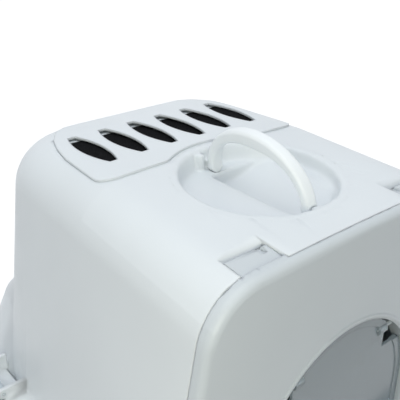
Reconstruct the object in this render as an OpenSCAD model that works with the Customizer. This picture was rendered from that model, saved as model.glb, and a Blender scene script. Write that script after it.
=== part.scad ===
/* [Overall] */

// Height of the rear roof above the floor, at the centre line
roof_h = 372; // [350:1:395]
// Height of the tray rim above the floor
tray_h = 118; // [112:1:122]
// Half of the tray's width over the rim
tray_hw = 200; // [195:1:206]
// Half of the tray's length over the rim
tray_hl = 211.5; // [209:0.5:216]

/* [Hood shell] */

// Wall thickness of the moulded hood
wall = 3; // [2.5:0.1:3.5]
// Radius of the long shoulders between roof and side walls
shoulder_r = 50; // [44:1:54]
// Plan radius of the rear corners
corner_r = 75; // [66:1:80]
// Rise of the roof's middle over its sides
crown = 1.6; // [0.8:0.1:2.4]
// Fall of the front roof, as height lost per length
roof_fall = 0.064; // [0.055:0.001:0.07]

/* [Vent cover and filter] */

// Distance between neighbouring vent openings
vent_pitch = 34.5; // [33:0.1:36]
// Number of vent openings
vent_count = 6; // [4:1:6]
// Length of one vent opening from tip to tip
vent_len = 76; // [70:1:80]
// Greatest width of one vent opening
vent_w = 23; // [18:0.5:23.5]
// Height of the cover's face over the roof around it
cover_rise = 1.8; // [1.2:0.1:2.4]

/* [Handle and dish] */

// Radius of the dish's floor
dish_r = 68; // [67:0.5:69]
// Radius of the dish's rim at roof level
dish_rim_r = 75.5; // [74:0.5:76]
// Depth of the dish below the rear roof
dish_depth = 18.5; // [18:0.1:19]
// Half of the handle's span, outside to outside
handle_span = 63; // [61:0.5:63.5]
// Height of the handle's crown over its pivots
handle_rise = 52.5; // [46:0.5:54]
// Thickness of the handle's band, looking along it from the side
handle_band = 9; // [8:0.2:9.4]
// Width of the handle's band
handle_w = 12.4; // [11:0.2:12.4]
// Extra thickness of the band at its crown, on the inside, where the hand takes it
grip_depth = 5; // [0:0.5:6]
// Lean of the standing handle toward its stop, away from the side it folds to
handle_lean = 10; // [0:1:10]

/* [Front panel and door] */

// Radius of the arched doorway
door_r = 98; // [94:1:99]
// Height of the doorway's sill above the floor
sill_h = 127; // [124:1:130]
// Half of a hinge lug's width
lug_hw = 20.4; // [18:0.1:21]
// Distance of a hinge lug's middle from the centre line
lug_x = 93.9; // [92:0.1:95]

/* [Clips and feet] */

// Half of a side clip's width
clip_hw = 22; // [18:1:24]
// Distance of the side clips before and behind the middle
clip_y = 88; // [80:1:92]
// Radius of a rubber foot
foot_r = 13; // [11:0.5:14]

/* [Hidden] */

$fn = 72;
hull_fn = 48;
thin = 0.05;
big = 800;
gap = 0.3;
run = 0.05;
set = 0.02;
over = 1;
tall = 60;

// hood skeleton
roof_side = roof_h - crown;
crown_hw = 100;
mid_y = -22.5;
front_y = -232;
front_cx = 107;
front_side = roof_side - roof_fall * (mid_y - front_y);
rear_cx = 69;
rear_cy = 87;
low_z = 110;
low_hw_rear = 180;
low_hw_front = 195.5;
low_rear_y = 178;
low_rear_r = 108;
low_front_r = 30;
crown_steps = 8;

// rear flare
flare_top_z = 212;
flare_z = 174;
flare_top_hw = 134;
flare_hw = 150;
flare_low_hw = 181;
flare_top_y = 166;
flare_y = 203;
flare_low_y = 207.5;
flare_r = 58;
flare_front_y = 60;
flare_front_r = 29;

// front seam
seam_y = -184.5;
brow_y = -188.5;
face_y = -197.1;
panel_gap = 0.35;
face_round = 6.5;

// front hinge
hinge_y = -168;
hinge_z = 355.3;
knuckle_r = 5;
hinge_pin_r = 2;
hinge_pin_in = 62;
hinge_pin_out = 121.5;
lug_gap = 0.7;
notch_in = lug_x - lug_hw - lug_gap;
notch_out = lug_x + lug_hw + lug_gap;
notch_y = -161.5;
notch_z = 348.2;
ramp_y = -149.5;
ramp_z = 359.8;
ramp_roof = roof_h - roof_fall * (mid_y - ramp_y) + 0.3;
box_wall = 4.2;
box_seat = 4;
box_behind = 3;
brow_clear_r = 21.9;
lug_top_in = 9;
lug_top_z = 357.4;
lug_nose_in = 3.4;
lug_nose_z = 354.6;
lug_face_z = 350;
lug_toe_z = 338;
lug_heel_in = 5;
lug_heel_z = 348;
lug_back = 8;
window_in = 8.5;
window_w = 6;
window_l = 8;
window_y = 5;
window_z = 2.6;
window_h = 10;
seam_clear_r = 18;

// dish and handle
dish_y = -84.5;
dish_z = roof_h - dish_depth;
pivot_z = dish_z + 4;
rim_round = 5;
rim_over = 0.4;
floor_round = 4;
dish_floor_r = dish_r + 1;
arc_step = 15;
leg_mid = handle_span - handle_band / 2;
scoop_depth = 14;
scoop_edge_x = -15;
scoop_edge_r = 4;
scoop_foot_r = 5;
scoop_low_x = scoop_edge_x + scoop_edge_r + scoop_foot_r;
scoop_reach = 52;
scoop_r = (pow(scoop_reach - scoop_low_x, 2) + pow(scoop_depth, 2)) / (2 * scoop_depth);
scoop_plan_r = 65;
scoop_y0 = -54.5;
scoop_y1 = 50;
scoop_steps = 12;
skin_up = 10;
stop_out = 16;
stop_in = 8.6;
stop_y = 61.5;
stop_z = roof_h - 3;
boss_hw = 8;
boss_in = 69;
boss_out = 82.5;
foot_gap = 0.5;
fold_angle = 78;
slot_in = 52.2;
slot_out = 63.5;
recess_up = 4;
recess_ramp = 30;
recess_step = 10;
stop_inset = 0.3;
pin_block_hw = 4.4;
pin_block_h = 8;
pin_block_gap = 0.8;
pin_end_gap = 0.5;
band_corner = 0.62;
foot_inset = 0.1;
pad_left = -10;
pad_right = 20;
handle_pin_r = 2.5;
handle_pin_in = handle_span - 6;
handle_pin_out = boss_out - 2;
bail_steps = 40;

// vent cover
vent_y = 51.2;
vent_blunt = 8.5;
cover_front_y = -19.2;
cover_front_hw = 118.5;
cover_rear_y = 133.5;
cover_bulge_y = -88;
cover_bulge_r = 84.8;
cover_under = 0.8;
seat_gap = 0.3;
cover_round = 17;
cover_fold = 9;
ledge = 6;
ledge_deep = 5.5;
prong_x = 84;
prong_w = 12;
prong_t = 2.4;
prong_y = -13.5;
prong_low = roof_h - 16;
prong_top = roof_side + 0.3;
prong_gap = 0.6;

// filter well
well_hw = 103;
well_y0 = 0.5;
well_y1 = 100;
well_wall = 2.5;
well_z = 357.2;
grid_t = 2.5;
grid_slots = 11;
grid_pitch = 18;
grid_slot_w = 12;
shelf_y = 86.5;
shelf_z = 368;
filter_t = 9;
filter_gap = 1;
filter_lift = 0.2;
well_bulge = 4.2;
filter_bulge = 5.4;
grid_y = 14;
grid_len = 66;
grid_up = 20;
grid_down = 5;

// lip and skirt
lip_z = tray_h + 0.3;
lip_t = 3.7;
lip_hw = tray_hw - 4;
lip_hl = tray_hl - 3.5;
lip_r = 58;
skirt_drop = 8;
skirt_t = 2.5;
skirt_hw = 180.6;
skirt_hl = 192.4;
skirt_r = 44;

// tray
rim_w = 14;
rim_t = 3.5;
rim_drop = 13;
rim_r = 62;
tray_wall = 3;
tray_low_hw = 168;
tray_low_hl = 179;
tray_low_r = 40;
tray_top_r = 50;
tray_floor = 4;
tray_under = 4;
bead_z = 74;
bead_t = 7;
bead_out = 1.6;
rib_t = 2.6;
rib_low = 1.6;
foot_x = 132;
foot_y = 143;
foot_pin_r = 4;
foot_peg_gap = 0.2;
foot_pin_h = tray_floor - 1;
bead_hw = 179.4;
bead_hl = 190.4;
bead_r = 46;
rib_x = 60;
rib_y = 90;
rib_end_x = 30;
rib_end_y = 40;

// clips
clip_x = tray_hw + 1.2;
clip_z = tray_h + 15.5;
clip_knuckle_r = 4.6;
clip_pin_r = 1.5;
clip_plate = 3.4;
clip_low = tray_h - 22;
ear_t = 4.5;
ear_r = 5.6;
clip_side_gap = 0.6;
ear_reach = 26;
ear_foot = 5;
clip_back = 1.2;
nose_reach = 0.8;
nose_side = 3;
nose_t = 3;
nose_h = 4.4;
tab_angle = 62;
tab_t = 2.6;
tab_len = 8;
clip_rib_t = 2.4;
clip_rib_out = 0.9;
clip_rib_side = 8;
clip_rib_z = 10;
clip_rib_h = 20;
clip_bore_end = 12;

// door
arch_z = 170;
door_mid_y = -190;
door_t = 3;
door_gap = 2;
door_axis_z = 238;
door_lug_in = 50;
door_lug_out = 60;
door_notch_up = 10;
door_notch_down = 22;
door_lug_r = 5;
door_pin_r = 2;
door_pin_in = 50.5;
door_pin_out = 80;
door_boss_r = 6.5;
flange_t = 3;
bezel_face = 3;
door_boss_in = 66;
door_boss_out = 82;
door_bore_in = 60;
door_cut_y = 10;
border_w = 8;
border_t = 1;
pull_hw = 22;
pull_out = 4.5;
pull_up = 16;
pull_t = 6;
pull_h = 4;
flange_y = -181;
bezel_w = 5;
bezel_out = 1.2;

// flat rounded rectangle, half width hw, from y0 to y1
module round_rect(hw, y0, y1, r) {
  translate([-hw + r, y0]) square([2 * (hw - r), y1 - y0]);
  translate([-hw, y0 + r]) square([2 * hw, y1 - y0 - 2 * r]);
  for (s = [-1, 1]) for (y = [y0 + r, y1 - r]) translate([s * (hw - r), y]) circle(r);
}

// cross-section of the roof's crown, e below the outer skin
module crown_slice(e) {
  polygon(concat(
    [for (i = [-crown_steps : crown_steps])
      let (x = crown_hw * i / crown_steps) [x, crown * (1 - pow(x / crown_hw, 2)) - e]],
    [[crown_hw, -e - 1], [-crown_hw, -e - 1]]));
}

// the hood's tapered, crowned outer form, set in by e
module hood_form(e) {
  hull() {
    for (s = [-1, 1]) {
      translate([s * rear_cx, rear_cy, roof_side - shoulder_r])
        rotate_extrude($fn = hull_fn) intersection() {
          translate([corner_r - shoulder_r, 0]) circle(shoulder_r - e, $fn = hull_fn);
          translate([0, -shoulder_r]) square([corner_r, 2 * shoulder_r]);
        }
      translate([s * crown_hw, mid_y, roof_side - shoulder_r])
        rotate([90, 0, 0]) cylinder(r = shoulder_r - e, h = thin, $fn = hull_fn);
      translate([s * front_cx, front_y, front_side - shoulder_r])
        rotate([90, 0, 0]) cylinder(r = shoulder_r - e, h = thin, $fn = hull_fn);
      translate([s * (low_hw_rear - low_rear_r), low_rear_y - low_rear_r, low_z])
        cylinder(r = low_rear_r - e, h = thin, $fn = hull_fn);
      translate([s * (low_hw_front - low_front_r), front_y, low_z])
        cylinder(r = low_front_r - e, h = thin, $fn = hull_fn);
    }
    translate([0, rear_cy, roof_side]) rotate([90, 0, 0]) linear_extrude(rear_cy - mid_y) crown_slice(e);
    translate([0, front_y, front_side]) rotate([90, 0, 0]) linear_extrude(thin) crown_slice(e);
  }
}

// the low bulge of the rear wall, set in by e
module flare_form(e) {
  hull() for (s = [-1, 1]) {
    translate([s * (flare_top_hw - flare_r), flare_top_y - flare_r, flare_top_z])
      cylinder(r = flare_r - e, h = thin, $fn = hull_fn);
    translate([s * (flare_hw - flare_r), flare_y - flare_r, flare_z])
      cylinder(r = flare_r - e, h = thin, $fn = hull_fn);
    translate([s * (flare_low_hw - flare_r), flare_low_y - flare_r, low_z])
      cylinder(r = flare_r - e, h = thin, $fn = hull_fn);
    translate([s * (flare_low_hw - flare_front_r - 0.5), flare_front_y, low_z])
      cylinder(r = flare_front_r - e, h = thin, $fn = hull_fn);
  }
}

// plan outline of the vent cover, widened by g
module cover_outline(g) {
  offset(delta = g) offset(r = cover_round) offset(r = -cover_round - cover_fold) offset(r = cover_fold)
    difference() {
      polygon([[-cover_front_hw, cover_front_y], [cover_front_hw, cover_front_y], [117.4, 0],
               [115.6, 25], [113.6, 52], [109, 76], [102, 96], [88, 118], [62, 131], [30, cover_rear_y],
               [-30, cover_rear_y], [-62, 131], [-88, 118], [-102, 96], [-109, 76], [-113.6, 52],
               [-115.6, 25], [-117.4, 0]]);
      translate([0, cover_bulge_y]) circle(cover_bulge_r);
    }
}

// upright prism over the vent cover's outline
module cover_prism(g) {
  translate([0, 0, roof_h - 60]) linear_extrude(100) cover_outline(g);
}

// one lens-shaped vent opening with blunt tips
module vent_lens(grow) {
  half_w = vent_w / 2 + grow;
  half_l = vent_len / 2 + vent_blunt;
  r = (half_w * half_w + half_l * half_l) / (2 * half_w);
  intersection() {
    translate([r - half_w, 0]) circle(r, $fn = 160);
    translate([half_w - r, 0]) circle(r, $fn = 160);
    square([vent_w * 2, vent_len + 2 * grow], center = true);
  }
}

// the round dish the handle folds into, one turned form: level floor, rounded foot, steep
// wall and rolled rim
module dish_cut() {
  translate([0, dish_y, dish_z]) rotate_extrude() polygon(concat(
    [[0, 0]],
    [for (a = [-90 : arc_step : 0]) [dish_floor_r - floor_round * (1 - cos(a)), floor_round * (1 + sin(a))]],
    [for (a = [180 : -arc_step : 90])
      [dish_rim_r + rim_round * cos(a), dish_depth + rim_over - rim_round * (1 - sin(a))]],
    [[dish_rim_r, 2 * dish_depth], [0, 2 * dish_depth]]));
}

// the moulded skin under the dish and its finger scoop
module dish_skin() {
  translate([0, dish_y, dish_z - wall])
    cylinder(r1 = dish_r + wall, r2 = dish_rim_r + wall, h = dish_depth + wall);
  translate([0, dish_y, roof_h - thin]) cylinder(r = dish_rim_r + wall, h = skin_up);
  scoop(wall);
}

// the finger scoop beside the handle's feet, grown by g for its skin: a rolled edge and a
// steep side on the left, then a long curve that rises to the dish floor on the right
module scoop(g) {
  low = dish_z - scoop_depth;
  rise_angle = acos((scoop_r - scoop_depth) / (scoop_r + g));
  profile = concat(
    [[scoop_edge_x, dish_z + thin]],
    [for (a = [90 : -arc_step : 0])
      [scoop_edge_x + (scoop_edge_r - g) * cos(a), dish_z - scoop_edge_r + (scoop_edge_r - g) * sin(a)]],
    [for (a = [180 : arc_step : 270])
      [scoop_low_x + (scoop_foot_r + g) * cos(a), low + scoop_foot_r + (scoop_foot_r + g) * sin(a)]],
    [for (i = [1 : scoop_steps]) let (a = rise_angle * i / scoop_steps)
      [scoop_low_x + (scoop_r + g) * sin(a), low + scoop_r - (scoop_r + g) * cos(a)]],
    [[scoop_reach + 2 * g, dish_z + thin]]);
  intersection() {
    translate([0, dish_y + scoop_y1 + g, 0]) rotate([90, 0, 0])
      linear_extrude(scoop_y1 - scoop_y0 + 2 * g) polygon(profile);
    translate([0, dish_y, low - g - over]) cylinder(r = scoop_plan_r + g, h = scoop_depth + g + 2 * over);
  }
}

// round-nosed stop in the dish wall, left of the rear foot, that keeps the handle from
// folding left, and the blocks that carry the handle's pins from the wall to the feet
module dish_bosses() {
  stop_r = (stop_out - stop_in) / 2;
  translate([-stop_out + stop_r, dish_y + stop_y + stop_r, dish_z - thin]) {
    cylinder(r = stop_r, h = stop_z - dish_z + thin);
    translate([-stop_r + stop_inset, 0, 0])
      cube([2 * (stop_r - stop_inset), dish_rim_r - stop_y, stop_z - dish_z + thin]);
  }
  for (s = [0, 1]) translate([-pin_block_hw, dish_y, 0]) mirror([0, s, 0])
    translate([0, handle_span + pin_block_gap, dish_z - thin])
      cube([2 * pin_block_hw, boss_in - handle_span + 2 * over, pin_block_h]);
}

// boss behind the dish wall that holds a handle pin, and the pad under its foot recess
module pin_boss(s) {
  translate([-boss_hw, s > 0 ? dish_y + boss_in : dish_y - boss_out, dish_z - wall])
    cube([2 * boss_hw, boss_out - boss_in, 40]);
  translate([pad_left, dish_y + s * leg_mid - handle_band / 2 - wall, dish_z - 2 * wall])
    cube([pad_right - pad_left, handle_band + 2 * wall, 2 * wall]);
}

// recess in the dish floor that clears one round foot of the handle, upright and folded
module foot_recess(s) {
  r = handle_w / 2 + foot_gap;
  lean = 90 - fold_angle;
  profile = concat(
    [[-r, recess_up]],
    [for (a = [180 : recess_step : 270 + lean]) [r * cos(a), r * sin(a)]],
    [[r * sin(lean) + recess_ramp * cos(lean), -r * cos(lean) + recess_ramp * sin(lean)]]);
  translate([0, s > 0 ? dish_y + slot_out : dish_y - slot_in, pivot_z])
    rotate([90, 0, 0]) linear_extrude(slot_out - slot_in) polygon(profile);
}

// notch, ramp and lug seat of the front hinge on the right side
module hinge_notch() {
  translate([notch_in, -big / 2, notch_z]) cube([notch_out - notch_in, big / 2 + notch_y, tall]);
  translate([notch_in, 0, 0]) rotate([90, 0, 90]) linear_extrude(notch_out - notch_in)
    polygon([[ramp_y, ramp_roof], [notch_y - thin, ramp_z], [notch_y - thin, roof_h + skin_up],
             [ramp_y, roof_h + skin_up]]);
}

// walls round one hinge notch, inside the hood
module hinge_box() {
  translate([notch_in - box_wall, -big / 2, notch_z - wall])
    cube([notch_out - notch_in + 2 * box_wall, big / 2 + notch_y + wall, tall]);
  translate([notch_in - box_wall, notch_y, ramp_z - box_seat])
    cube([notch_out - notch_in + 2 * box_wall, ramp_y - notch_y + box_behind, tall]);
}

// ears that carry one side clip, on the right side
module clip_ears() {
  for (s = [-1, 1]) translate([0, s * (clip_hw + clip_side_gap + ear_t / 2), 0]) {
    translate([clip_x, ear_t / 2, clip_z]) rotate([90, 0, 0]) cylinder(r = ear_r, h = ear_t);
    translate([clip_x - ear_reach, -ear_t / 2, lip_z]) cube([ear_reach, ear_t, clip_z - lip_z + ear_r]);
    translate([clip_x - ear_reach, -ear_t / 2, lip_z]) cube([ear_reach - ear_r + ear_foot, ear_t, ear_foot]);
  }
}

// the front of the hood: brow between the notches, seam beside them
module front_cut() {
  translate([-big / 2, -big, -big / 2]) cube([big, big + seam_y, big / 2 + hinge_z - over]);
  for (s = [-1, 1]) translate([s > 0 ? notch_out - thin : -big / 2, -big, 0])
    cube([big / 2 - notch_out + thin, big + seam_y, big]);
  translate([-big / 2, -big, 0]) cube([big, big + brow_y, big]);
}

module hood() {
  color([0.85, 0.88, 0.9]) difference() {
    union() {
      difference() {
        union() {
          hood_form(0);
          flare_form(0);
        }
        difference() {
          union() {
            hood_form(wall);
            flare_form(wall);
          }
          difference() {
            cover_prism(ledge);
            hood_form(ledge_deep);
          }
          dish_skin();
          for (s = [0, 1]) mirror([s, 0, 0]) hinge_box();
          translate([-well_hw - well_wall, well_y0, well_z])
            cube([2 * (well_hw + well_wall), well_y1 + well_wall - well_y0, tall]);
          pin_boss(1);
          pin_boss(-1);
        }
        translate([-big / 2, -big / 2, lip_z - big]) cube([big, big, big]);
      }
      // lip that rests on the tray's rim, and the skirt that drops inside it
      difference() {
        union() {
          translate([0, 0, lip_z]) linear_extrude(lip_t) round_rect(lip_hw, -lip_hl, lip_hl, lip_r);
          translate([0, 0, lip_z - skirt_drop]) linear_extrude(skirt_drop + thin)
            round_rect(skirt_hw, -skirt_hl, skirt_hl, skirt_r);
        }
        translate([0, 0, lip_z - skirt_drop - over]) linear_extrude(skirt_drop + lip_t + 2 * over)
          round_rect(skirt_hw - skirt_t, -skirt_hl + skirt_t, skirt_hl - skirt_t, skirt_r - skirt_t);
      }
      for (s = [0, 1]) mirror([s, 0, 0]) for (y = [-clip_y, clip_y]) translate([0, y, 0]) clip_ears();
    }
    front_cut();
    difference() {
      dish_cut();
      dish_bosses();
    }
    scoop(0);
    foot_recess(1);
    foot_recess(-1);
    for (s = [0, 1]) mirror([s, 0, 0]) hinge_notch();
    // sunk seat of the vent cover and the filter well under it
    difference() {
      cover_prism(gap);
      hood_form(cover_under + seat_gap);
    }
    difference() {
      translate([-well_hw, well_y0 + well_wall, well_z + grid_t])
        cube([2 * well_hw, well_y1 - well_y0 - well_wall, tall]);
      translate([-well_hw, shelf_y, well_z]) cube([2 * well_hw, well_y1, shelf_z - well_z]);
      translate([0, cover_bulge_y, well_z]) cylinder(r = cover_bulge_r + well_bulge, h = tall);
    }
    for (i = [0 : grid_slots - 1])
      translate([(i - (grid_slots - 1) / 2) * grid_pitch - grid_slot_w / 2, grid_y, well_z - grid_down])
        cube([grid_slot_w, grid_len, grid_up]);
    for (s = [-1, 1])
      translate([s * prong_x - prong_w / 2 - prong_gap, prong_y - prong_t / 2 - prong_gap, roof_h - tall / 2])
        cube([prong_w + 2 * prong_gap, prong_t + 2 * prong_gap, tall]);
    // bores for the handle, hinge and clip pins
    for (s = [-1, 1]) translate([0, dish_y + s * (handle_pin_out + pin_end_gap), pivot_z])
      rotate([s * 90, 0, 0]) cylinder(r = handle_pin_r + set, h = handle_pin_out - handle_pin_in);
    for (s = [-1, 1]) translate([s > 0 ? hinge_pin_in - over : -hinge_pin_out, hinge_y, hinge_z])
      rotate([0, 90, 0]) cylinder(r = hinge_pin_r + set, h = hinge_pin_out - hinge_pin_in + over);
    for (s = [-1, 1]) for (y = [-clip_y, clip_y]) translate([s * clip_x, y + clip_hw + clip_bore_end, clip_z])
      rotate([90, 0, 0]) cylinder(r = clip_pin_r + set, h = 2 * (clip_hw + clip_bore_end));
  }
}

module vent_cover() {
  color([0.86, 0.89, 0.91]) union() {
    difference() {
      intersection() {
        cover_prism(0);
        hood_form(-cover_rise);
      }
      hood_form(cover_under);
      for (i = [0 : vent_count - 1]) translate([(i - (vent_count - 1) / 2) * vent_pitch, vent_y, roof_h - 20])
        linear_extrude(40) vent_lens(0);
    }
    for (s = [-1, 1]) translate([s * prong_x - prong_w / 2, prong_y - prong_t / 2, prong_low])
      cube([prong_w, prong_t, prong_top - prong_low]);
  }
}

module carbon_filter() {
  color([0.06, 0.06, 0.065]) difference() {
    translate([-well_hw + filter_gap, well_y0 + well_wall + filter_gap, well_z + grid_t + filter_lift])
      cube([2 * (well_hw - filter_gap), shelf_y - well_y0 - well_wall - 2 * filter_gap, filter_t]);
    translate([0, cover_bulge_y, well_z]) cylinder(r = cover_bulge_r + filter_bulge, h = tall);
  }
}

// section of the handle's band with bevelled corners, as outward and sideways parts of its half size
band_points = [for (q = [[-1, -1], [1, -1], [1, 1], [-1, 1]], k = [0, 1])
  (q[0] * q[1] > 0) == (k == 0) ? [q[0], q[1] * band_corner] : [q[0] * band_corner, q[1]]];

// ring of points round the handle's band at angle a along its arch
function bail_ring(a) = [for (p = band_points)
  let (in = (1 - p[0]) / 2 * (handle_band + grip_depth * pow(sin(a), 4)),
       ry = handle_span - in, rz = handle_rise - in)
  [p[1] * handle_w / 2, dish_y + ry * cos(a), pivot_z + rz * sin(a)]];

module carry_handle() {
  n = 8;
  pts = [for (i = [0 : bail_steps]) for (q = bail_ring(180 * i / bail_steps)) q];
  sides = [for (i = [0 : bail_steps - 1]) for (j = [0 : n - 1]) for (k = [0, 1])
    k == 0 ? [(i + 1) * n + (j + 1) % n, (i + 1) * n + j, i * n + j]
           : [i * n + (j + 1) % n, (i + 1) * n + (j + 1) % n, i * n + j]];
  ends = [[for (j = [n - 1 : -1 : 0]) j], [for (j = [0 : n - 1]) bail_steps * n + j]];
  color([0.9, 0.93, 0.95]) translate([0, 0, pivot_z]) rotate([0, -handle_lean, 0]) translate([0, 0, -pivot_z])
  difference() {
    union() {
      polyhedron(points = pts, faces = concat(sides, ends));
      for (s = [-1, 1]) translate([0, dish_y + s * leg_mid + handle_band / 2 - foot_inset, pivot_z])
        rotate([90, 0, 0]) cylinder(r = handle_w / 2 - foot_inset, h = handle_band - 2 * foot_inset);
    }
    // blind bores from the outer faces of the feet
    for (s = [-1, 1]) translate([0, dish_y + s * (handle_pin_in - pin_end_gap), pivot_z])
      rotate([-s * 90, 0, 0]) cylinder(r = handle_pin_r + run, h = handle_band);
  }
}

module handle_pin(s) {
  color([0.8, 0.83, 0.85]) translate([0, dish_y + s * handle_pin_in, pivot_z])
    rotate([-s * 90, 0, 0]) cylinder(r = handle_pin_r, h = handle_pin_out - handle_pin_in);
}

module handle_pin_front() {
  handle_pin(-1);
}

module handle_pin_rear() {
  handle_pin(1);
}

// doorway outline, set in by e
module doorway(e) {
  translate([0, arch_z]) circle(door_r - e, $fn = 96);
  translate([-door_r + e, sill_h + e]) square([2 * (door_r - e), arch_z - sill_h - e]);
}

// upright prism of the doorway from y0 to y1, with a level sill
module doorway_cut(e, y0, y1) {
  difference() {
    translate([0, y1, 0]) rotate([90, 0, 0]) linear_extrude(y1 - y0) doorway(e);
    translate([-big / 2, y0 - over, sill_h + e - 2 * door_r]) cube([big, y1 - y0 + 2 * over, 2 * door_r]);
  }
}

// one upright slice of the hood's form, for the front panel
module form_slice(e, y0, y1) {
  intersection() {
    hood_form(e);
    translate([-big / 2, y0, 0]) cube([big, y1 - y0, big]);
  }
}

module front_panel() {
  lug_low = hinge_z - knuckle_r;
  color([0.78, 0.82, 0.84]) difference() {
    union() {
      difference() {
        hull() {
          form_slice(0, face_y + face_round, seam_y - panel_gap);
          for (a = [22.5 : 22.5 : 90])
            form_slice(face_round * (1 - cos(a)), face_y + face_round * (1 - sin(a)),
                       face_y + face_round * (1 - sin(a)) + thin);
        }
        difference() {
          hood_form(wall);
          translate([-big / 2, -big, 0]) cube([big, big + face_y + wall, big]);
          // flange around the doorway and bosses for the door's pins
          difference() {
            doorway_cut(-flange_t, face_y - over, seam_y);
            doorway_cut(0, face_y - 2 * over, seam_y + over);
          }
        }
        translate([-big / 2, -big / 2, lip_z + 1.2 - big]) cube([big, big, big]);
        // clearance round the hinge line, under the brow and beside the notches
        translate([-notch_in - thin, hinge_y, hinge_z]) rotate([0, 90, 0])
          cylinder(r = brow_clear_r, h = 2 * (notch_in + thin));
        translate([-big / 2, hinge_y, hinge_z]) rotate([0, 90, 0]) cylinder(r = seam_clear_r, h = big);
        translate([-notch_in - over, brow_y - panel_gap, hinge_z - 2]) cube([2 * (notch_in + over), tall, tall]);
      }
      // flange standing in from the face, round the doorway
      difference() {
        doorway_cut(-flange_t, face_y + over, flange_y);
        doorway_cut(0, face_y - 2 * over, flange_y + over);
      }
      difference() {
        doorway_cut(-bezel_w, face_y - bezel_out, face_y + over);
        doorway_cut(-bezel_w + bezel_face, face_y - bezel_out - over, face_y + 2 * over);
      }
      for (s = [-1, 1]) difference() {
        translate([s > 0 ? door_boss_in : -door_boss_out, door_mid_y, door_axis_z])
          rotate([0, 90, 0]) cylinder(r = door_boss_r, h = door_boss_out - door_boss_in);
        translate([-big / 2, -big, 0]) cube([big, big + face_y + over, big]);
      }
      // hinge lugs
      for (s = [-1, 1]) translate([s * lug_x - lug_hw, 0, 0]) {
        translate([0, hinge_y, hinge_z]) rotate([0, 90, 0]) cylinder(r = knuckle_r, h = 2 * lug_hw);
        rotate([90, 0, 90]) linear_extrude(2 * lug_hw)
          polygon([[hinge_y, hinge_z + knuckle_r], [face_y + lug_top_in, lug_top_z],
                   [face_y + lug_nose_in, lug_nose_z], [face_y + over, lug_face_z], [face_y + over, lug_toe_z],
                   [face_y + wall + over, lug_toe_z], [face_y + wall + lug_heel_in, lug_heel_z],
                   [hinge_y - lug_back, lug_low], [hinge_y, lug_low]]);
      }
    }
    doorway_cut(0, face_y - door_cut_y, flange_y + door_cut_y);
    for (s = [-1, 1]) translate([s * lug_x - lug_hw - over, hinge_y, hinge_z])
      rotate([0, 90, 0]) cylinder(r = hinge_pin_r + run, h = 2 * (lug_hw + over));
    for (s = [-1, 1]) translate([s > 0 ? door_bore_in : -door_pin_out, door_mid_y, door_axis_z])
      rotate([0, 90, 0]) cylinder(r = door_pin_r + set, h = door_pin_out - door_bore_in);
    // small window in each lug where the pin can be seen
    for (s = [-1, 1]) translate([s * (notch_in + window_in) - window_w / 2, hinge_y - window_y, hinge_z + window_z])
      cube([window_w, window_l, window_h]);
  }
}

module front_hinge_pin(s) {
  color([0.75, 0.78, 0.8]) translate([s > 0 ? hinge_pin_in : -hinge_pin_out + pin_end_gap, hinge_y, hinge_z])
    rotate([0, 90, 0]) cylinder(r = hinge_pin_r, h = hinge_pin_out - hinge_pin_in - pin_end_gap);
}

module front_hinge_pin_left() {
  front_hinge_pin(-1);
}

module front_hinge_pin_right() {
  front_hinge_pin(1);
}

module swing_door() {
  color([0.75, 0.85, 0.9, 0.6]) difference() {
    union() {
      doorway_cut(door_gap, door_mid_y - door_t / 2, door_mid_y + door_t / 2);
      // raised border and pull
      difference() {
        doorway_cut(door_gap, door_mid_y - door_t / 2 - border_t, door_mid_y + door_t / 2 + border_t);
        doorway_cut(door_gap + border_w, door_mid_y - door_cut_y, door_mid_y + door_cut_y);
      }
      for (s = [-1, 1]) translate([s > 0 ? door_lug_in : -door_lug_out, door_mid_y, door_axis_z])
        rotate([0, 90, 0]) cylinder(r = door_lug_r, h = door_lug_out - door_lug_in);
      translate([-pull_hw, door_mid_y - door_t / 2 - pull_out, sill_h + pull_up]) cube([2 * pull_hw, pull_t, pull_h]);
    }
    // notches beside the pivots
    for (s = [-1, 1])
      translate([s > 0 ? door_lug_out : -door_lug_out - tall, door_mid_y - door_cut_y, door_axis_z - door_notch_down])
        cube([tall, 2 * door_cut_y, door_notch_down + door_notch_up]);
    for (s = [-1, 1]) translate([s > 0 ? door_lug_in - over : -door_lug_out - over, door_mid_y, door_axis_z])
      rotate([0, 90, 0]) cylinder(r = door_pin_r + run, h = door_lug_out - door_lug_in + 2 * over);
  }
}

module door_pin(s) {
  color([0.75, 0.78, 0.8]) translate([s > 0 ? door_pin_in : -door_pin_out + pin_end_gap, door_mid_y, door_axis_z])
    rotate([0, 90, 0]) cylinder(r = door_pin_r, h = door_pin_out - door_pin_in - pin_end_gap);
}

module door_pin_left() {
  door_pin(-1);
}

module door_pin_right() {
  door_pin(1);
}

// tapered tub, set in by e
module tub(e, low) {
  hull() for (s = [-1, 1]) for (t = [-1, 1]) {
    translate([s * (tray_hw - rim_w - tray_top_r), t * (tray_hl - rim_w - tray_top_r), tray_h - thin])
      cylinder(r = tray_top_r - e, h = thin, $fn = hull_fn);
    translate([s * (tray_low_hw - tray_low_r), t * (tray_low_hl - tray_low_r), low])
      cylinder(r = tray_low_r - e, h = thin, $fn = hull_fn);
  }
}

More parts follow.
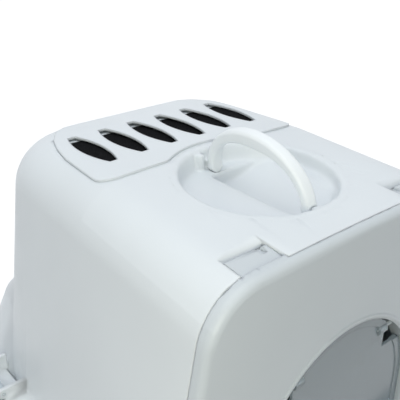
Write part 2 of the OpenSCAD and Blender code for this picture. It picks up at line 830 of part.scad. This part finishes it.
module base_tray() {
  color([0.72, 0.77, 0.8]) difference() {
    union() {
      tub(0, tray_under);
      // flanged rim with a turned-down edge
      difference() {
        translate([0, 0, tray_h - rim_drop]) linear_extrude(rim_drop) round_rect(tray_hw, -tray_hl, tray_hl, rim_r);
        translate([0, 0, tray_h - rim_drop - over]) linear_extrude(rim_drop + over - rim_t)
          round_rect(tray_hw - wall, -tray_hl + wall, tray_hl - wall, rim_r - wall);
      }
      // stiffening bead round the wall
      translate([0, 0, bead_z]) linear_extrude(bead_t)
        round_rect(bead_hw + bead_out, -bead_hl - bead_out, bead_hl + bead_out, bead_r);
      // ribs and foot pads below the floor
      for (x = [-rib_x, 0, rib_x]) translate([x - rib_t / 2, -tray_low_hl + rib_end_y, rib_low])
        cube([rib_t, 2 * (tray_low_hl - rib_end_y), tray_under - rib_low + over]);
      for (y = [-rib_y, 0, rib_y]) translate([-tray_low_hw + rib_end_x, y - rib_t / 2, rib_low])
        cube([2 * (tray_low_hw - rib_end_x), rib_t, tray_under - rib_low + over]);
    }
    tub(tray_wall, tray_under + tray_floor);
    for (s = [-1, 1]) for (t = [-1, 1]) translate([s * foot_x, t * foot_y, tray_under - over])
      cylinder(r = foot_pin_r + set, h = foot_pin_h + foot_peg_gap + over);
  }
}

module clip(s, y) {
  color([0.62, 0.68, 0.72]) mirror([s > 0 ? 0 : 1, 0, 0]) translate([clip_x, y, 0]) difference() {
    union() {
      translate([0, clip_hw, clip_z]) rotate([90, 0, 0]) cylinder(r = clip_knuckle_r, h = 2 * clip_hw);
      translate([clip_back, -clip_hw, clip_low]) cube([clip_plate, 2 * clip_hw, clip_z - clip_low]);
      // nose under the rim, and finger tab
      translate([-nose_reach, -clip_hw + nose_side, clip_low + over]) cube([nose_t, 2 * (clip_hw - nose_side), nose_h]);
      translate([clip_back, -clip_hw, clip_low]) rotate([0, tab_angle, 0]) cube([tab_t, 2 * clip_hw, tab_len]);
      for (t = [-1, 1])
        translate([clip_back, t * (clip_hw - clip_rib_side) - clip_rib_t / 2, clip_low + clip_rib_z])
          cube([clip_plate + clip_rib_out, clip_rib_t, clip_rib_h]);
    }
    translate([0, clip_hw + over, clip_z]) rotate([90, 0, 0]) cylinder(r = clip_pin_r + run, h = 2 * (clip_hw + over));
  }
}

module clip_left_front() {
  clip(-1, -clip_y);
}

module clip_left_rear() {
  clip(-1, clip_y);
}

module clip_right_front() {
  clip(1, -clip_y);
}

module clip_right_rear() {
  clip(1, clip_y);
}

module clip_pin(s, y) {
  half = clip_hw + clip_side_gap + ear_t + over;
  color([0.75, 0.78, 0.8]) translate([s * clip_x, y + half, clip_z])
    rotate([90, 0, 0]) cylinder(r = clip_pin_r, h = 2 * half);
}

module clip_pin_left_front() {
  clip_pin(-1, -clip_y);
}

module clip_pin_left_rear() {
  clip_pin(-1, clip_y);
}

module clip_pin_right_front() {
  clip_pin(1, -clip_y);
}

module clip_pin_right_rear() {
  clip_pin(1, clip_y);
}

module foot(s, t) {
  color([0.2, 0.21, 0.22]) translate([s * foot_x, t * foot_y, 0]) {
    cylinder(r = foot_r, h = tray_under);
    cylinder(r = foot_pin_r, h = tray_under + foot_pin_h);
  }
}

module foot_left_front() {
  foot(-1, -1);
}

module foot_left_rear() {
  foot(-1, 1);
}

module foot_right_front() {
  foot(1, -1);
}

module foot_right_rear() {
  foot(1, 1);
}

base_tray();
hood();
vent_cover();
carbon_filter();
carry_handle();
handle_pin_front();
handle_pin_rear();
front_panel();
front_hinge_pin_left();
front_hinge_pin_right();
swing_door();
door_pin_left();
door_pin_right();
clip_left_front();
clip_left_rear();
clip_right_front();
clip_right_rear();
clip_pin_left_front();
clip_pin_left_rear();
clip_pin_right_front();
clip_pin_right_rear();
foot_left_front();
foot_left_rear();
foot_right_front();
foot_right_rear();
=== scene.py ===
from math import radians

import bpy
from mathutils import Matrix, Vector


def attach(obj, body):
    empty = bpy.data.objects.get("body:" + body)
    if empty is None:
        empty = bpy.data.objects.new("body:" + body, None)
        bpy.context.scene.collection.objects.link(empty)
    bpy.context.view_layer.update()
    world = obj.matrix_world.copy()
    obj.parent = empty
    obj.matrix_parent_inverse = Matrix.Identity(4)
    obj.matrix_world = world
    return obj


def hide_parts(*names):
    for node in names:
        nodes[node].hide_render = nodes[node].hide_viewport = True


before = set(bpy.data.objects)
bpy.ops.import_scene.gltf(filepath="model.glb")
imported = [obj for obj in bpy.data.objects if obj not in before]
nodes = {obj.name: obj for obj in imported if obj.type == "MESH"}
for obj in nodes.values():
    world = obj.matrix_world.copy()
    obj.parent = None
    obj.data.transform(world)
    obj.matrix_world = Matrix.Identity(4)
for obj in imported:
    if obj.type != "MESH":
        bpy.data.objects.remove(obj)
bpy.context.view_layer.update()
scene = bpy.context.scene

# The photographer's place: left of the box and above it, looking down along the roof toward the
# rear right corner. The lens is a slightly long one for a 36 mm sensor, held with hardly any roll.
photo_lens = 58.5
sensor_width = 36
photo_place = (-0.37327, -0.44982, 0.59465)
photo_down = 25.85
photo_roll = -0.17
photo_turn = -39.86

camera_data = bpy.data.cameras.new("photo_camera")
camera_data.lens = photo_lens
camera_data.sensor_width = sensor_width
camera = bpy.data.objects.new("photo_camera", camera_data)
scene.collection.objects.link(camera)
camera.location = photo_place
camera.rotation_euler = (radians(90 - photo_down), radians(photo_roll), radians(photo_turn))
scene.camera = camera

# The studio: a floor that shows white and keeps the box's shadow, and a pale room that is brighter
# above the left rear. A soft window hangs overhead and a small warm one by the left front corner.
floor_width = 30
floor_tone = (0.28, 0.285, 0.29, 1)
floor_roughness = 0.9
floor_lift = 0.80
white = (1, 1, 1, 1)
room_bright = (0.80, 0.835, 0.87, 1)
room_dim = (0.06, 0.062, 0.07, 1)
bright_side = (-0.20, 0.10, 0.97)


def feed(tree, node, values):
    """Gives each socket that values names its number, or a link from the output that feeds it."""
    for socket, value in values.items():
        if isinstance(value, bpy.types.NodeSocket):
            tree.links.new(value, node.inputs[socket])
        else:
            node.inputs[socket].default_value = value


def shader_node(tree, kind, values, **settings):
    """Adds a shader node with its own settings, and feeds its sockets."""
    node = tree.nodes.new(kind)
    for setting, value in settings.items():
        setattr(node, setting, value)
    feed(tree, node, values)
    return node


def seen_directly(tree):
    """1 where a ray comes from the camera, a mirror or clear plastic, 0 for light on the object."""
    path = tree.nodes.new("ShaderNodeLightPath")
    found = path.outputs["Is Camera Ray"]
    for other in ("Is Glossy Ray", "Is Transmission Ray"):
        either = shader_node(tree, "ShaderNodeMath", {0: found, 1: path.outputs[other]},
                             operation="MAXIMUM")
        found = either.outputs[0]
    return found


bpy.ops.object.select_all(action="DESELECT")
bpy.ops.mesh.primitive_plane_add(size=floor_width, location=(0, 0, 0))
floor = bpy.context.object
floor.name = "studio_floor"
floor_paint = bpy.data.materials.new("floor_paint")
floor_paint.use_nodes = True
paint_tree = floor_paint.node_tree
floor_glow = shader_node(paint_tree, "ShaderNodeMath",
                         {0: seen_directly(paint_tree), 1: floor_lift}, operation="MULTIPLY")
feed(paint_tree, paint_tree.nodes["Principled BSDF"],
     {"Base Color": floor_tone, "Roughness": floor_roughness,
      "Emission Color": white, "Emission Strength": floor_glow.outputs[0]})
floor.data.materials.append(floor_paint)

room = bpy.data.worlds.new("studio_room")
room.use_nodes = True
scene.world = room
room_tree = room.node_tree
look = room_tree.nodes.new("ShaderNodeTexCoord")
facing = shader_node(room_tree, "ShaderNodeVectorMath",
                     {0: look.outputs["Generated"], 1: bright_side}, operation="DOT_PRODUCT")
brightness = shader_node(room_tree, "ShaderNodeMapRange",
                         {"Value": facing.outputs["Value"], "From Min": -1})
room_blend = shader_node(room_tree, "ShaderNodeMix",
                         {"Factor": brightness.outputs["Result"], "A": room_dim, "B": room_bright},
                         data_type="RGBA")
room_shade = shader_node(room_tree, "ShaderNodeMix",
                         {"Factor": seen_directly(room_tree), "A": room_blend.outputs["Result"],
                          "B": white}, data_type="RGBA")
feed(room_tree, room_tree.nodes["Background"], {"Color": room_shade.outputs["Result"]})


def soft_window(name, place, aim, width, height, watts, tint):
    """A rectangular soft light at place, turned toward aim."""
    light = bpy.data.lights.new(name, "AREA")
    light.shape = "RECTANGLE"
    light.size = width
    light.size_y = height
    light.energy = watts
    light.color = tint
    lamp = bpy.data.objects.new(name, light)
    scene.collection.objects.link(lamp)
    lamp.location = place
    lamp.visible_camera = False
    lamp.rotation_euler = (Vector(aim) - Vector(place)).to_track_quat("-Z", "Y").to_euler()


soft_window("window_above", place=(-0.3, -0.2, 1.8), aim=(0, 0, 0.25),
            width=1.6, height=1.2, watts=7.5, tint=(0.96, 1.0, 1.05))
soft_window("window_left", place=(-0.52, -0.62, 0.50), aim=(-0.15, -0.15, 0.30),
            width=0.25, height=0.25, watts=1.5, tint=(1.0, 0.99, 0.80))

# The hood: one large injection moulding in pale grey polypropylene, with a fine spark finish. It
# carries the handle's dish, the filter well and the clip ears, and its skirt sits in the tray's
# rim. The dish's rims and finger scoop run into each other with soft, rolled edges.
merge_distance = 1e-6
flat_angle = 0.2
edge_angle = 40
smooth_angle = 34
dish_centre = (0, -0.0845, 0.355)
dish_cut_r = 0.0785
dish_blank_r = 0.0840
dish_cut_height = 0.060
dish_facets = 96
dish_voxel = 0.0011
dish_rounds = 46
foot_reach = 0.051
foot_side = 0.020
foot_softness = 0.12


def moulded_plastic_group():
    """Flow shading from the mould, spark finish, faint handling scuffs and eased edges."""
    flow_scale = 6
    flow_range = (0.3, 0.7)
    spark_scale = 900
    spark_height = 0.0004
    scuff_scale = 38
    scuff_range = (0.35, 0.75)
    scuff_gloss = (-0.04, 0.08)
    group = bpy.data.node_groups.new("moulded_surface", "ShaderNodeTree")
    for name, kind, value in (("Tone", "NodeSocketColor", (0.7, 0.74, 0.76, 1)),
                              ("Tone drift", "NodeSocketFloat", 0.05),
                              ("Spark depth", "NodeSocketFloat", 0.05),
                              ("Polish", "NodeSocketFloat", 0.35),
                              ("Edge ease", "NodeSocketFloat", 0.002)):
        socket = group.interface.new_socket(name, in_out="INPUT", socket_type=kind)
        socket.default_value = value
    for name, kind in (("Color", "NodeSocketColor"), ("Roughness", "NodeSocketFloat"),
                       ("Normal", "NodeSocketVector")):
        group.interface.new_socket(name, in_out="OUTPUT", socket_type=kind)
    given = group.nodes.new("NodeGroupInput").outputs
    on_piece = group.nodes.new("ShaderNodeTexCoord").outputs["Object"]
    flow = shader_node(group, "ShaderNodeTexNoise",
                       {"Vector": on_piece, "Scale": flow_scale, "Detail": 3})
    darkest = shader_node(group, "ShaderNodeMath", {0: 1.0, 1: given["Tone drift"]},
                          operation="SUBTRACT")
    drift = shader_node(group, "ShaderNodeMapRange",
                        {"Value": flow.outputs["Fac"], "From Min": flow_range[0],
                         "From Max": flow_range[1], "To Min": 1.0, "To Max": darkest.outputs[0]})
    tone = shader_node(group, "ShaderNodeVectorMath",
                       {0: given["Tone"], "Scale": drift.outputs["Result"]}, operation="SCALE")
    scuff = shader_node(group, "ShaderNodeTexNoise",
                        {"Vector": on_piece, "Scale": scuff_scale, "Detail": 6, "Roughness": 0.7})
    worn = shader_node(group, "ShaderNodeMapRange",
                       {"Value": scuff.outputs["Fac"], "From Min": scuff_range[0],
                        "From Max": scuff_range[1], "To Min": scuff_gloss[0],
                        "To Max": scuff_gloss[1]})
    gloss = shader_node(group, "ShaderNodeMath", {0: given["Polish"], 1: worn.outputs["Result"]},
                        operation="ADD")
    spark = shader_node(group, "ShaderNodeTexNoise",
                        {"Vector": on_piece, "Scale": spark_scale, "Detail": 2})
    eased = shader_node(group, "ShaderNodeBevel", {"Radius": given["Edge ease"]}, samples=6)
    dimple = shader_node(group, "ShaderNodeBump",
                         {"Strength": given["Spark depth"], "Distance": spark_height,
                          "Height": spark.outputs["Fac"], "Normal": eased.outputs["Normal"]})
    feed(group, group.nodes.new("NodeGroupOutput"),
         {"Color": tone.outputs[0], "Roughness": gloss.outputs[0],
          "Normal": dimple.outputs["Normal"]})
    return group


moulded_surface = moulded_plastic_group()


def moulded_plastic(name, tone, drift=0.05, spark=0.06, polish=0.36, ease=0.002):
    """A plastic of one colour, with the shared moulded surface."""
    plastic = bpy.data.materials.new(name)
    plastic.use_nodes = True
    tree = plastic.node_tree
    surface = shader_node(tree, "ShaderNodeGroup",
                          {"Tone": (*tone, 1), "Tone drift": drift, "Spark depth": spark,
                           "Polish": polish, "Edge ease": ease}, node_tree=moulded_surface)
    feed(tree, tree.nodes["Principled BSDF"],
         {"Base Color": surface.outputs["Color"], "Roughness": surface.outputs["Roughness"],
          "Normal": surface.outputs["Normal"], "Specular IOR Level": 0.45})
    return plastic


def only(piece):
    """Selects one piece and makes it active."""
    bpy.ops.object.select_all(action="DESELECT")
    piece.select_set(True)
    bpy.context.view_layer.objects.active = piece


def merged_copy(node, name):
    """A copy of a CAD node with its doubles merged."""
    piece = bpy.data.objects.new(name, nodes[node].data.copy())
    scene.collection.objects.link(piece)
    only(piece)
    bpy.ops.object.mode_set(mode="EDIT")
    bpy.ops.mesh.select_all(action="SELECT")
    bpy.ops.mesh.remove_doubles(threshold=merge_distance)
    bpy.ops.object.mode_set(mode="OBJECT")
    return piece


def shape_with(piece, kind, **settings):
    """Gives a piece one modifier with these settings, and applies it."""
    only(piece)
    modifier = piece.modifiers.new(kind, kind)
    for setting, value in settings.items():
        setattr(modifier, setting, value)
    bpy.ops.object.modifier_apply(modifier=modifier.name)


def smooth_moulding(piece):
    """Smooth shading that keeps sharp edges and lets the flat faces rule."""
    only(piece)
    bpy.ops.object.shade_smooth_by_angle(angle=radians(smooth_angle))
    shape_with(piece, "WEIGHTED_NORMAL", keep_sharp=True, weight=100)


def finish_piece(piece, name, material, body, node):
    """Names and dresses a finished piece, which rides on its body in place of its CAD node."""
    piece.name = name
    piece.data.name = name
    piece.data.materials.clear()
    piece.data.materials.append(material)
    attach(piece, body)
    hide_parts(node)


def moulding(node, material, body, edge=0.0):
    """A smooth copy of a CAD node: doubles merged, flat faces joined, edges rounded where asked."""
    piece = merged_copy(node, node + "_moulding")
    bpy.ops.object.mode_set(mode="EDIT")
    bpy.ops.mesh.select_all(action="SELECT")
    bpy.ops.mesh.dissolve_limited(angle_limit=radians(flat_angle))
    bpy.ops.object.mode_set(mode="OBJECT")
    if edge:
        shape_with(piece, "BEVEL", width=edge, segments=2, limit_method="ANGLE",
                   angle_limit=radians(edge_angle), use_clamp_overlap=True)
    smooth_moulding(piece)
    finish_piece(piece, node + "_moulding", material, body, node)


def cut_round(piece, operation, radius):
    """Keeps or removes what lies in an upright round cutter over the dish."""
    bpy.ops.mesh.primitive_cylinder_add(vertices=dish_facets, radius=radius, depth=dish_cut_height,
                                        location=dish_centre)
    cutter = bpy.context.object
    shape_with(piece, "BOOLEAN", operation=operation, solver="EXACT", object=cutter)
    bpy.data.objects.remove(cutter)


dish = merged_copy("hood", "dish_blank")
cut_round(dish, "INTERSECT", dish_blank_r)
shape_with(dish, "REMESH", mode="VOXEL", voxel_size=dish_voxel)
soft_zone = dish.vertex_groups.new(name="soft_zone")
for point in dish.data.vertices:
    by_foot = abs(point.co.y - dish_centre[1]) > foot_reach and abs(point.co.x) < foot_side
    soft_zone.add([point.index], foot_softness if by_foot else 1.0, "REPLACE")
shape_with(dish, "SMOOTH", vertex_group=soft_zone.name, factor=0.5, iterations=dish_rounds)
cut_round(dish, "INTERSECT", dish_cut_r)
hood = merged_copy("hood", "hood_blank")
cut_round(hood, "DIFFERENCE", dish_cut_r)
shape_with(hood, "BOOLEAN", operation="UNION", solver="EXACT", object=dish)
bpy.data.objects.remove(dish)
smooth_moulding(hood)
hood_plastic = moulded_plastic("hood_plastic", (0.745, 0.78, 0.80), ease=0.003)
finish_piece(hood, "hood_moulding", hood_plastic, "hood", "hood")

# The vent cover: a thin crowned plate of the hood's plastic with six lens-shaped openings. Two
# prongs at its front snap into slots in the roof.
moulding("vent_cover", hood_plastic, "vent_cover", edge=0.0007)

# The front: a separate moulding in a slightly darker grey, with a flange round its arched doorway.
# That darker grey is partly the plastic's own tone and partly painted shade for the shaded front
# face.
# It hangs by two lugs on pins at the front edge of the roof, and the entry flap swings in it.
panel_plastic = moulded_plastic("panel_plastic", (0.60, 0.64, 0.665), ease=0.0025)
moulding("front_panel", panel_plastic, "front_panel")

# The carry handle: a flat arched band with round feet, moulded in a paler grey and held by a pin
# through each foot. Its edges are softened all round, as on a piece that a hand closes over.
handle_voxel = 0.0006
handle_rounds = 14
handle_plastic = moulded_plastic("handle_plastic", (0.87, 0.90, 0.91), ease=0.001)
handle = merged_copy("carry_handle", "handle_blank")
shape_with(handle, "REMESH", mode="VOXEL", voxel_size=handle_voxel)
shape_with(handle, "SMOOTH", factor=0.5, iterations=handle_rounds)
bpy.ops.object.shade_smooth()
finish_piece(handle, "carry_handle_moulding", handle_plastic, "handle",
             "carry_handle")

# The tray: the deep lower tub that holds the litter, moulded in a darker grey. Its turned-down
# rim stiffens it, carries the hood and gives the side clips their hold.
tray_plastic = moulded_plastic("tray_plastic", (0.50, 0.55, 0.585))
moulding("base_tray", tray_plastic, "tray")

# The entry flap: a clear smoky plate with a raised border and a small pull. It swings both ways
# on two pins that are pressed in bosses behind the front.
flap_plastic = moulded_plastic("flap_plastic", (0.55, 0.62, 0.66), ease=0.001, polish=0.18)
feed(flap_plastic.node_tree, flap_plastic.node_tree.nodes["Principled BSDF"],
     {"Transmission Weight": 0.65, "IOR": 1.46})
moulding("swing_door", flap_plastic, "flap")

# The side clips: four stiff moulded hooks that hold the hood down on the tray's rim. Each swings
# on a plain pin between two ears of the hood.
corners = ("left_front", "left_rear", "right_front", "right_rear")
clip_plastic = moulded_plastic("clip_plastic", (0.50, 0.56, 0.60), ease=0.0008)
for corner in corners:
    moulding("clip_" + corner, clip_plastic, "clip_" + corner, edge=0.0004)

# The pins: plain round plastic pins for the clips, the handle, the front and the flap. The flap's
# are pressed in bosses of the front, and all the others in the hood.
pin_plastic = moulded_plastic("pin_plastic", (0.60, 0.65, 0.68), ease=0.0004)
for name in nodes:
    if "_pin" in name:
        rides_on = "front_panel" if name.startswith("door") else "hood"
        moulding(name, pin_plastic, rides_on)

# The filter: a slab of black open-cell foam, cut from sheet, that fills the well under the vent
# cover. It has sawn edges and an open, crumbly face.
slab_voxel = 0.0016
crumb_size = 0.004
crumb_depth = 0.0005


def open_cell_foam(name, tone):
    """Foam with fine open cells; the hollows get painted shade, the struts painted light."""
    cell_scale = 700
    strut_width = 0.18
    hollow_painted_shade = 0.45
    strut_painted_light = 1.7
    pit_depth = 0.0006
    foam = bpy.data.materials.new(name)
    foam.use_nodes = True
    tree = foam.node_tree
    on_piece = tree.nodes.new("ShaderNodeTexCoord").outputs["Object"]
    cells = shader_node(tree, "ShaderNodeTexVoronoi", {"Vector": on_piece, "Scale": cell_scale},
                        feature="DISTANCE_TO_EDGE")
    struts = shader_node(tree, "ShaderNodeMapRange",
                         {"Value": cells.outputs["Distance"], "From Max": strut_width,
                          "To Min": 1.0, "To Max": 0.0})
    # Painted shade in the cell hollows and painted light on the struts; the foam itself is one
    # black.
    tint = shader_node(tree, "ShaderNodeMix",
                       {"Factor": struts.outputs["Result"],
                        "A": (*[part * hollow_painted_shade for part in tone], 1),
                        "B": (*[part * strut_painted_light for part in tone], 1)}, data_type="RGBA")
    pits = shader_node(tree, "ShaderNodeBump",
                       {"Strength": 0.7, "Distance": pit_depth, "Height": struts.outputs["Result"]})
    feed(tree, tree.nodes["Principled BSDF"],
         {"Base Color": tint.outputs["Result"], "Normal": pits.outputs["Normal"],
          "Roughness": 0.95, "Specular IOR Level": 0.05})
    return foam


filter_foam = open_cell_foam("filter_foam", (0.0105, 0.0108, 0.012))
slab = merged_copy("carbon_filter", "filter_blank")
shape_with(slab, "REMESH", mode="VOXEL", voxel_size=slab_voxel)
crumbs = bpy.data.textures.new("foam_crumbs", "CLOUDS")
crumbs.noise_scale = crumb_size
shape_with(slab, "DISPLACE", texture=crumbs, mid_level=1.0, strength=crumb_depth)
bpy.ops.object.shade_smooth()
finish_piece(slab, "filter_slab", filter_foam, "hood", "carbon_filter")

# The feet: four soft black rubber pads that keep the box from sliding. Each has a stud that is
# pressed into a blind hole under the tray.
rubber = moulded_plastic("foot_rubber", (0.04, 0.042, 0.045), polish=0.8)
for corner in corners:
    moulding("foot_" + corner, rubber, "tray", edge=0.0006)

scene.view_settings.view_transform = "Standard"
